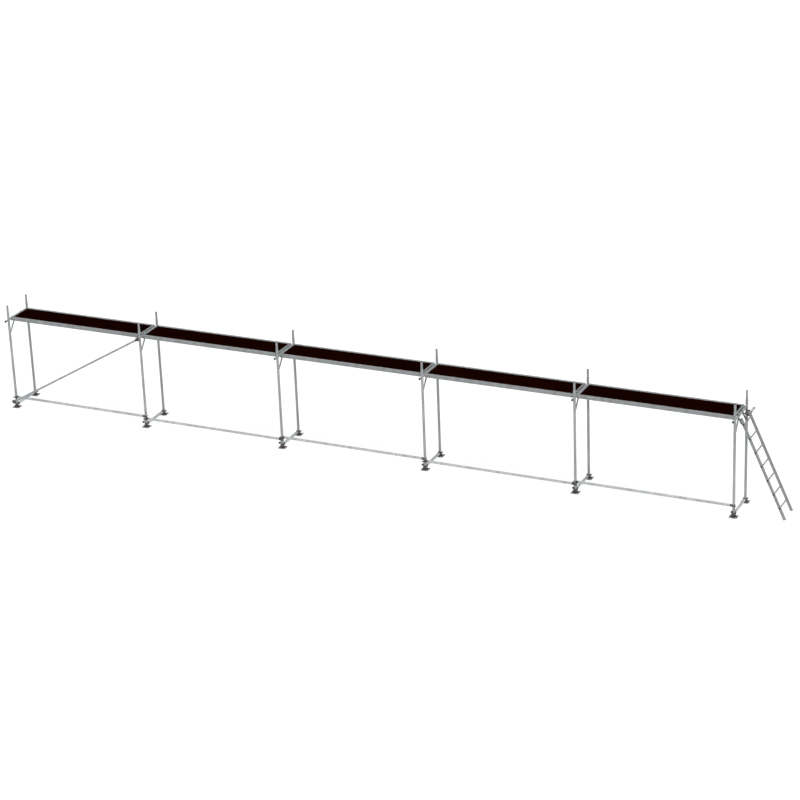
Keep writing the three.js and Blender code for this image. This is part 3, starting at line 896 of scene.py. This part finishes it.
def build_diagonal():
    along = Vector((BAY, 0, STUB_HIGH - STUB_LOW))
    turn = basis_from(Y_AXIS, towards=along)
    fittings, pipe = coupled_tube(along.length, LEDGER_BAND, STUB_R, STUB_BORE, turn)
    origin = (FRAME_X[0], BRACE_Y, STUB_LOW)
    put_shape("diagonal_tube", pipe, [GALVANISED, PAINTED_SHADE_BORE], "platform", "diagonal_brace", origin)
    put_shape("diagonal_couplers", fittings, [DARK, BOLT], "platform", "diagonal_brace", origin)


# ---------------------------------------------------------------- base jacks
def jack_plate():
    """The square base plate with round corners and four nail holes, from z = 0 up."""
    reach, bevel = PLATE_HALF, 0.0008
    hole_r, hole_at = 0.013, 0.048
    square = [(reach, -reach), (reach, reach), (-reach, reach), (-reach, -reach)]
    loops = [round_path(square, 0.018, steps=8, closed=True)]
    loops += [[(sx * hole_at + x, sy * hole_at + y) for x, y in circle(hole_r, 24)]
              for sx in (-1, 1) for sy in (-1, 1)]
    curve = bpy.data.curves.new("jack_plate", "CURVE")
    curve.dimensions = "2D"
    curve.fill_mode = "BOTH"
    for loop in loops:
        spline = curve.splines.new("POLY")
        spline.points.add(len(loop) - 1)
        for point, (x, y) in zip(spline.points, loop):
            point.co = (x, y, 0, 1)
        spline.use_cyclic_u = True
    curve.extrude = PLATE_T / 2 - bevel
    curve.bevel_depth = bevel
    curve.bevel_resolution = 2
    curve.offset = -bevel
    holder = bpy.data.objects.new("jack_plate", curve)
    scene.collection.objects.link(holder)
    bpy.context.view_layer.update()
    graph = bpy.context.evaluated_depsgraph_get()
    data = bpy.data.meshes.new_from_object(holder.evaluated_get(graph))
    bpy.data.objects.remove(holder)
    work = bmesh.new()
    work.from_mesh(data)
    bmesh.ops.remove_doubles(work, verts=work.verts, dist=1e-6)
    bmesh.ops.recalc_face_normals(work, faces=work.faces)
    bmesh.ops.translate(work, verts=work.verts, vec=(0, 0, PLATE_T / 2))
    work.to_mesh(data)
    work.free()
    return dress(data, [PLATE], [0] * len(data.polygons))


def thread(shape, low, high, root, crest):
    """A trapezoidal thread on the local Z axis, between two plain ends."""
    sides, rings_per_turn, run_out = 28, 8, 0.002
    steps = int((high - low) / PITCH * rings_per_turn)
    plain = circle(root, sides)
    rings = [[Vector((x, y, low - run_out)) for x, y in plain]]
    for j in range(steps + 1):
        z = low + (high - low) * j / steps
        fade = min(1.0, (z - low) / PITCH, (high - z) / PITCH)
        ring = []
        for k, (x, y) in enumerate(circle(1, sides)):
            phase = (z / PITCH - k / sides) % 1.0
            wave = min(1.0, max(0.0, 2.6 - abs(phase - 0.5) * 8.0))
            r = root + (crest - root) * wave * fade
            ring.append(Vector((r * x, r * y, z)))
        rings.append(ring)
    rings.append([Vector((x, y, high + run_out)) for x, y in plain])
    shape.loft(rings)


def jack_spindle():
    """A bar threaded between its weld on the plate and its plain end."""
    shape = Shape()
    foot, end = 0.0085, SPINDLE_TOP - 0.013
    thread(shape, foot + 0.0005, end + 0.001, 0.0162, 0.0180)
    rod(shape, (0, 0, PLATE_T - 0.001), (0, 0, foot), 0.0172)
    rod(shape, (0, 0, end), (0, 0, SPINDLE_TOP), 0.0160, edge=0.002)
    return shape


def wing_nut():
    """The jack's nut: a turned hub with a collar that enters the post's foot, and two cast wings."""
    shape = Shape()
    bottom, top = (corner.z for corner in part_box("jack_nut_front_1"))
    bore, hub_r, collar_r, wing_t = 0.0187, 0.0280, 0.0238, 0.013
    revolve(shape, [
        (bore, bottom + 0.001), (0.0200, bottom), (0.0262, bottom), (hub_r, bottom + 0.0022),
        (hub_r, 0.0330), (0.0268, 0.0362), (0.0246, 0.0376), (collar_r, 0.0395),
        (collar_r, top - 0.001), (0.0230, top), (0.0197, top), (bore, top - 0.001)], sides=48)
    wing = [(0.0215, 0.0110), (0.0330, 0.0122), (0.0480, 0.0150), (0.0520, 0.0200),
            (0.0520, 0.0300), (0.0480, 0.0358), (0.0400, 0.0362), (0.0330, 0.0330),
            (0.0215, 0.0345)]
    outline = round_path(wing, 0.004, steps=3, closed=True)
    for side in (-1, 1):
        place = axes(X_AXIS * side, Z_AXIS, Y_AXIS * -side, (0, side * wing_t / 2, 0))
        slab(shape, outline, place, wing_t, 0.0028)
    return shape


def build_jacks():
    plate_data = jack_plate()
    spindle_data = jack_spindle().mesh("jack_spindle", [BOLT], 25)
    nut_data = wing_nut().mesh("jack_wing_nut", [DARK])
    for i in range(FRAMES):
        for side in ("front", "back"):
            key = f"{side}_{i + 1}"
            jack = f"base_jack_{key}"
            place = (middle(jack).x, middle(jack).y, 0)
            put(f"jack_plate_{key}", plate_data, f"jack_{key}", [jack], place)
            put(f"jack_spindle_{key}", spindle_data, f"jack_{key}", [jack], place)
            put(f"jack_wing_nut_{key}", nut_data, f"nut_{key}", [f"jack_nut_{key}"], place)


# ---------------------------------------------------------------- decks
def channel(width, height, lip, flange):
    """A bent-sheet channel in (inward, down) coordinates: bottom flange, web, top flange, lip."""
    h = SHEET_T / 2
    path = [(flange, -height + h), (h, -height + h), (h, -h), (width - h, -h), (width - h, -lip)]
    return thicken(round_path(path, 0.0035), SHEET_T)


def claw_shape(towards):
    """One hooked claw over a transom on the local Y axis; its deck lies towards +X or -X."""
    shape = Shape()
    inner = TUBE_R + 0.0006
    outer = inner + 0.005
    root_x, tip_y = -DECK_END - 0.002, -0.0018
    outline = [(root_x, outer), (root_x, 0.0125)]
    outline += arc_points(inner, 150, 2, 18)
    outline += [(inner + 0.0015, tip_y), (outer - 0.0010, tip_y)]
    outline += arc_points(outer, 2, 90, 12)
    place = axes(X_AXIS * -towards, Z_AXIS, Y_AXIS, (0, -CLAW_W / 2, 0))
    slab(shape, outline, place, CLAW_W, 0.0009)
    return shape


def deck_rails():
    shape = Shape()
    section = channel(RAIL_FLANGE, RAIL_H, FLANGE_LIP, 0.027)
    for side in (-1, 1):
        place = axes(Y_AXIS * -side, Z_AXIS, X_AXIS, (DECK_END, side * DECK_HALF, DECK_TOP))
        profile_bar(shape, section, place, BAY - 2 * DECK_END)
    return shape


def deck_ends():
    """The cross profiles at both ends, and the claws welded to them."""
    shape = Shape()
    section = channel(END_FLANGE, RAIL_H - 0.001, FLANGE_LIP, 0.016)
    for towards, x in ((1, DECK_END), (-1, BAY - DECK_END)):
        place = axes(X_AXIS * towards, Z_AXIS, Y_AXIS, (x, -MEMBER_REACH, DECK_TOP - 0.0004))
        profile_bar(shape, section, place, 2 * MEMBER_REACH)
    for towards, y in CLAWS:
        x = 0 if towards > 0 else BAY
        shape.add(claw_shape(towards), Matrix.Translation((x, y, TRANSOM_Z)))
        face = x + towards * (DECK_END - 0.0006)
        for rise in (0.0305, 0.0120):
            start, end = ((face, y + side * CLAW_W / 2, TRANSOM_Z + rise) for side in (-1, 1))
            bead(shape, start, end, 0.0020, 14, ripple=0.18)
    return shape


def member_places():
    return [DECK_END + (BAY - 2 * DECK_END) * (k + 1) / (MEMBERS + 1) for k in range(MEMBERS)]


def deck_members():
    """The pressed cross members under the plywood, and the corner welds of the deck frame."""
    shape = Shape()
    crown, brim, crown_z, brim_z = 0.020, 0.030, -0.0150, -0.0425
    path = [(-brim, brim_z), (-crown, brim_z), (-crown, crown_z), (crown, crown_z),
            (crown, brim_z), (brim, brim_z)]
    section = thicken(round_path(path, 0.003, steps=3), 0.0025)
    for x in member_places():
        place = axes(X_AXIS, Z_AXIS, Y_AXIS, (x, -MEMBER_REACH, DECK_TOP))
        profile_bar(shape, section, place, 2 * MEMBER_REACH)
    near, run, z = DECK_HALF - 0.004, 0.050, DECK_TOP - 0.0005
    for x in (DECK_END + END_FLANGE, BAY - DECK_END - END_FLANGE):
        for side in (-1, 1):
            bead(shape, (x, side * near, z), (x, side * (near - run), z), 0.0010, 16)
    return shape


def deck_rivets():
    """Rivets along the top flanges and the end profiles, which hold the plywood down, and those
    that hold the cross members in the rails."""
    shape = Shape()
    along, from_end = 10, 0.15
    across, apart = 4, 0.13
    inset = DECK_END + END_FLANGE + 0.020
    for side in (-1, 1):
        for k in range(along):
            x = from_end + (BAY - 2 * from_end) * k / (along - 1)
            y = side * (DECK_HALF - RAIL_FLANGE - 0.018)
            dome(shape, (x, y, PLY_TOP), Z_AXIS, 0.0068, 0.0020, look=1)
    for x in (inset, BAY - inset):
        for k in range(across):
            dome(shape, (x, (k - 1.5) * apart, PLY_TOP), Z_AXIS, 0.0068, 0.0020, look=1)
    for side in (-1, 1):
        for x in member_places():
            for shift in (-0.013, 0.013):
                dome(shape, (x + shift, side * DECK_HALF, DECK_TOP - 0.030), Y_AXIS * side,
                     0.0050, 0.0016)
    return shape


def plywood_sheet():
    low, high = (corner - Vector((FRAME_X[0], RUN_Y, 0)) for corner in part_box("plywood_1"))
    shape = Shape()
    outline = round_path(box_outline(low.x, high.x, low.y, high.y), 0.004, steps=3, closed=True)
    slab(shape, outline, Matrix.Translation((0, 0, low.z)), high.z - low.z)
    return shape


def build_decks():
    places = [(x, RUN_Y, 0) for x in FRAME_X[:BAYS]]
    put_row("deck_frame", places, {
        "deck_rails": (deck_rails(), [SHEET]),
        "deck_ends": (deck_ends(), [SHEET]),
        "deck_members": (deck_members(), [SHEET]),
        "deck_rivets": (deck_rivets(), [SHEET, DARK]),
    })
    put_row("plywood", places, {"plywood_sheet": (plywood_sheet(), [PLY])})


# ---------------------------------------------------------------- ladder
DOWN = Vector((math.sin(TILT), 0, -math.cos(TILT)))
OFF = Vector((math.cos(TILT), 0, math.sin(TILT)))


def ladder_point(down, off=0.0, y=0.0):
    """The point at a distance down the stiles and off their mid-plane."""
    return LADDER_REF + DOWN * down + OFF * off + Y_AXIS * y


def from_transom(point):
    """A point's (x, z) as seen from the transom that the ladder hangs on."""
    return Vector((point.x - LADDER_X, point.z - TRANSOM_Z))


def ladder_stiles():
    """Two hollow extrusions with grooved outer faces, square cut and open at the foot."""
    shape = Shape()
    d, w = STILE_D / 2, STILE_W / 2
    outer = round_path([(d, -w), (d, w), (-d, w), (-d, -w)], 0.003, closed=True)
    inner = offset_loop(outer, STILE_WALL)
    length = STILE_BOTTOM - STILE_TOP
    lip_out, lip_end = 0.0175, 0.004
    for y in STILE_Y:
        place = axes(OFF, -Y_AXIS, DOWN, ladder_point(STILE_TOP, 0, y))
        corners = ((outer, 0), (outer, length), (inner, length), (inner, 0))
        shape.wrap([placed(place, loop, z) for loop, z in corners], (0, 0, 1, 0))
        for side in (-1, 1):
            for n in (-lip_out, lip_out):
                line = [place @ Vector((n, side * w, z)) for z in (lip_end, length - lip_end)]
                sweep(shape, line, 0.0010, sides=6, closed=False)
    return shape


def rung_grip(shape, x, z):
    """The ribbed length of a rung between the stiles, with a plain step at both ends."""
    lobes, sides, rib = 18, 108, 0.0007
    low, high = (y - side * (STILE_W / 2 + 0.006) for y, side in zip(STILE_Y, (-1, 1)))
    rings = []
    for y, grow in ((low, 0), (low + 0.002, 1), (high - 0.002, 1), (high, 0)):
        ring = []
        for k, (across, up) in enumerate(circle(1, sides)):
            wave = 0.5 + 0.5 * math.cos(lobes * 2 * math.pi * k / sides)
            r = RUNG_R - rib + grow * rib * wave
            ring.append(Vector((x + r * across, y, z + r * up)))
        rings.append(ring)
    shape.loft(rings)


def rung_collar(shape, face, axis):
    """The rung's rolled collar against a stile."""
    hole = RUNG_R - 0.001
    revolve(shape, [(hole, -0.0005), (0.0178, -0.0005), (0.0182, 0.0006), (0.0168, 0.0020),
                    (hole, 0.0022)], face, axis, 36)


def rung_plug(shape, face, axis):
    """The dark plug in a rung's end, slightly dished."""
    rim, dish = 0.0178, 0.0110
    revolve(shape, [(rim, -0.0016), (rim, 0), (rim - 0.0008, 0.0008), (dish + 0.0010, 0.0008),
                    (dish, -0.0012), (0, -0.0014)], face, axis, 36, look=2)


def ladder_rungs():
    """Ribbed round rungs that go through both stiles, with pressed collars on both sides."""
    shape = Shape()
    end = STILE_W / 2 + 0.002
    for i in range(RUNGS):
        centre = ladder_point(RUNG_FIRST + i * RUNG_PITCH)
        start, stop = centre + Y_AXIS * (STILE_Y[0] - end), centre + Y_AXIS * (STILE_Y[1] + end)
        tube(shape, start, stop, RUNG_R - 0.0005, RUNG_BORE, sides=36)
        rung_grip(shape, centre.x, centre.z)
        for y in STILE_Y:
            for side in (-1, 1):
                face = centre + Y_AXIS * (y + side * STILE_W / 2)
                rung_collar(shape, face, Y_AXIS * side)
        rung_plug(shape, start, -Y_AXIS)
        rung_plug(shape, stop, Y_AXIS)
    return shape


def ladder_cap(y):
    """A moulded plug: a rounded head with a lip over the stile's end."""
    shape = Shape()
    half = STILE_D / 2
    lip, rise = 0.004, 0.0118
    outline = [(half, 0), (half, lip)]
    outline += [(half * x, lip + rise * up) for x, up in arc_points(1, 0, 180, 16)[1:-1]]
    outline += [(-half, lip), (-half, 0)]
    head = ladder_point(STILE_TOP - 0.0003, 0, y + STILE_W / 2)
    slab(shape, outline, axes(OFF, -DOWN, -Y_AXIS, head), STILE_W, 0.0022)
    return shape


def meeting_angle(point, direction, radius):
    """Where a line first leaves a circle round the origin, as an angle in degrees."""
    along = point.dot(direction)
    run = -along + math.sqrt(along ** 2 - point.length_squared + radius ** 2)
    leaves = point + direction * run
    return math.degrees(math.atan2(leaves.y, leaves.x))


def hook(shank_from, shank_to, y):
    """A flat hook over the transom at y, with a straight shank between two (x, z) points."""
    shape = Shape()
    inner, outer = 0.0250, 0.0320
    direction = (shank_to - shank_from).normalized()
    side = Vector((-direction.y, direction.x)) * HOOK_SHANK_W / 2
    right = meeting_angle(shank_from + side, direction, outer)
    left = meeting_angle(shank_from - side, direction, inner)
    outline = arc_points(outer, right, 196, 30)
    outline += arc_points(inner, 199, left, 34)
    outline += [tuple(shank_to - side), tuple(shank_to + side)]
    place = axes(X_AXIS, Z_AXIS, -Y_AXIS, (LADDER_X, y + HOOK_T / 2, TRANSOM_Z))
    slab(shape, outline, place, HOOK_T, 0.0010)
    return shape


def side_hook(y):
    """A hook whose shank lies against the lower face of a stile, held by two screws."""
    offset = -STILE_D / 2 - 0.0003 - HOOK_SHANK_W / 2
    shank = [from_transom(ladder_point(CAP_TOP + down, offset)) for down in (-0.035, 0.108)]
    shape = hook(*shank, y)
    seat, head_r, head_h = -0.0005, 0.0068, 0.0045
    for down in (0.034, 0.088):
        for side in (-1, 1):
            head = ladder_point(CAP_TOP + down, offset, y + side * HOOK_T / 2)
            revolve(shape, [(0, seat), (head_r, seat), (head_r, head_h - 0.001),
                            (head_r - 0.0008, head_h), (0, head_h)], head, Y_AXIS * side, 6, look=1)
    return shape


def middle_hook(y):
    """A hook that ends in an eye round the top rung."""
    rung = ladder_point(RUNG_FIRST)
    centre = from_transom(rung)
    shape = hook(Vector((0, 0)), centre - centre.normalized() * (RUNG_R + 0.004), y)
    half, edge = 0.006, 0.001
    hole, eye_r = RUNG_R + 0.0004, 0.0228
    revolve(shape, [(hole, -half), (eye_r - edge, -half), (eye_r, edge - half), (eye_r, half - edge),
                    (eye_r - edge, half), (hole, half)], rung + Y_AXIS * y, Y_AXIS, 40)
    return shape


def build_ladder():
    put_shape("ladder_stiles", ladder_stiles(), [ALUMINIUM, PAINTED_SHADE_BORE], "ladder", "ladder_frame")
    put_shape("ladder_rungs", ladder_rungs(), [RUNG_METAL, PAINTED_SHADE_BORE, END_CAP], "ladder", "ladder_frame")
    for side, y in zip(("front", "back"), STILE_Y):
        put_shape(f"ladder_plug_{side}", ladder_cap(y), [CAP], "ladder", f"ladder_cap_{side}")
        put_shape(f"hook_plate_{side}", side_hook(y), [DARK, BOLT], "ladder", f"ladder_hook_{side}")
    hook_shape = middle_hook(middle("ladder_hook_middle").y)
    put_shape("hook_plate_middle", hook_shape, [DARK, BOLT], "ladder", "ladder_hook_middle")


# ---------------------------------------------------------------- support tube and coupler
def build_support():
    low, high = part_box("support_tube")
    centre = (low + high) / 2
    place = (centre.x, RUN_Y, centre.z)
    reach = high.y - RUN_Y
    pipe = Shape()
    tube(pipe, (0, low.y - RUN_Y, 0), (0, reach - 0.002, 0), TUBE_R, TUBE_BORE, sides=40)
    cap = Shape()
    end_cap(cap, (0, reach, 0), Y_AXIS, TUBE_R)
    put_shape("support_cap", cap, [END_CAP], "platform", "support_tube", place)
    put_shape("support_pipe", pipe, [BRIGHT, PAINTED_SHADE_BORE], "platform", "support_tube", place)
    post = Vector((FRAME_X[-1], BACK_Y, centre.z))
    gap = centre.x - post.x
    grip = clamp(TUBE_R, LEDGER_BAND)
    shape = Shape()
    shape.add(grip)
    turn = axes(-X_AXIS, Z_AXIS, Y_AXIS, (gap, 0, 0))
    shape.add(grip, turn @ Matrix.Rotation(math.pi, 4, "X"))
    stem_from = TUBE_R + 0.0012
    rod(shape, (stem_from, 0, 0), (gap - stem_from, 0, 0), 0.017, edge=0.0005)
    put_shape("support_clamp", shape, [DARK, BOLT], "platform", "support_coupler", post)


# ---------------------------------------------------------------- stage, light and camera
def build_floor():
    """A wide pale floor that glows evenly, so that it shows only soft contact shadows."""
    reach = 400.0
    data = bpy.data.meshes.new("floor")
    corners = [(x, y, 0) for x, y in box_outline(-reach, reach, -reach, reach)]
    data.from_pydata(corners, [], [(0, 1, 2, 3)])
    look = Look("pale_floor")
    values = {"Base Color": rgba(0.25), "Roughness": 0.9, "Specular IOR Level": 0.0,
              "Emission Color": rgba(1.0), "Emission Strength": 0.84}
    for name, value in values.items():
        look.shader.inputs[name].default_value = value
    data.materials.append(look.material)
    stage = bpy.data.objects.new("floor", data)
    scene.collection.objects.link(stage)


def build_sky():
    """White from the horizon up to a low angle, and grey overhead."""
    world = bpy.data.worlds.new("studio")
    world.use_nodes = True
    tree = world.node_tree
    place = tree.nodes.new("ShaderNodeTexCoord")
    split = tree.nodes.new("ShaderNodeSeparateXYZ")
    tree.links.new(place.outputs["Generated"], split.inputs[0])
    background = tree.nodes["Background"]
    sky = ramp(tree, split.outputs[2], (0.17, 1.0), (0.40, 0.40))
    tree.links.new(sky, background.inputs["Color"])
    background.inputs["Strength"].default_value = 1.0
    scene.world = world


def build_sun(name, rotation, strength, spread):
    """A sun whose rotation and angular size are in degrees."""
    lamp = bpy.data.lights.new(name, "SUN")
    lamp.energy = strength
    lamp.angle = math.radians(spread)
    holder = bpy.data.objects.new(name, lamp)
    holder.rotation_euler = [math.radians(a) for a in rotation]
    scene.collection.objects.link(holder)


def build_camera():
    """A long lens well to the right of the run and above it, rolled slightly."""
    camera = bpy.data.cameras.new("camera")
    camera.sensor_width = 36.0
    camera.lens = 114.854
    camera.clip_end = 1500.0
    holder = bpy.data.objects.new("camera", camera)
    azimuth, elevation, roll = (math.radians(a) for a in (25.695, 22.356, -2.267))
    turn = (Matrix.Rotation(azimuth, 4, "Z") @ Matrix.Rotation(math.pi / 2 - elevation, 4, "X")
            @ Matrix.Rotation(roll, 4, "Z"))
    from_first_frame = Vector((27.5173, -39.7989, 0))
    place = Vector((FRAME_X[0], RUN_Y, 19.3465)) + from_first_frame
    holder.matrix_world = Matrix.Translation(place) @ turn
    scene.collection.objects.link(holder)
    scene.camera = holder


scene.view_settings.view_transform = "Standard"
build_camera()
build_floor()
build_sky()
build_sun("key", (16, 8, 25), 2.4, 30)
build_sun("fill", (50, 0, -60), 0.15, 50)
build_frames()
build_ledgers()
build_cross_tubes()
build_diagonal()
build_jacks()
build_decks()
build_ladder()
build_support()
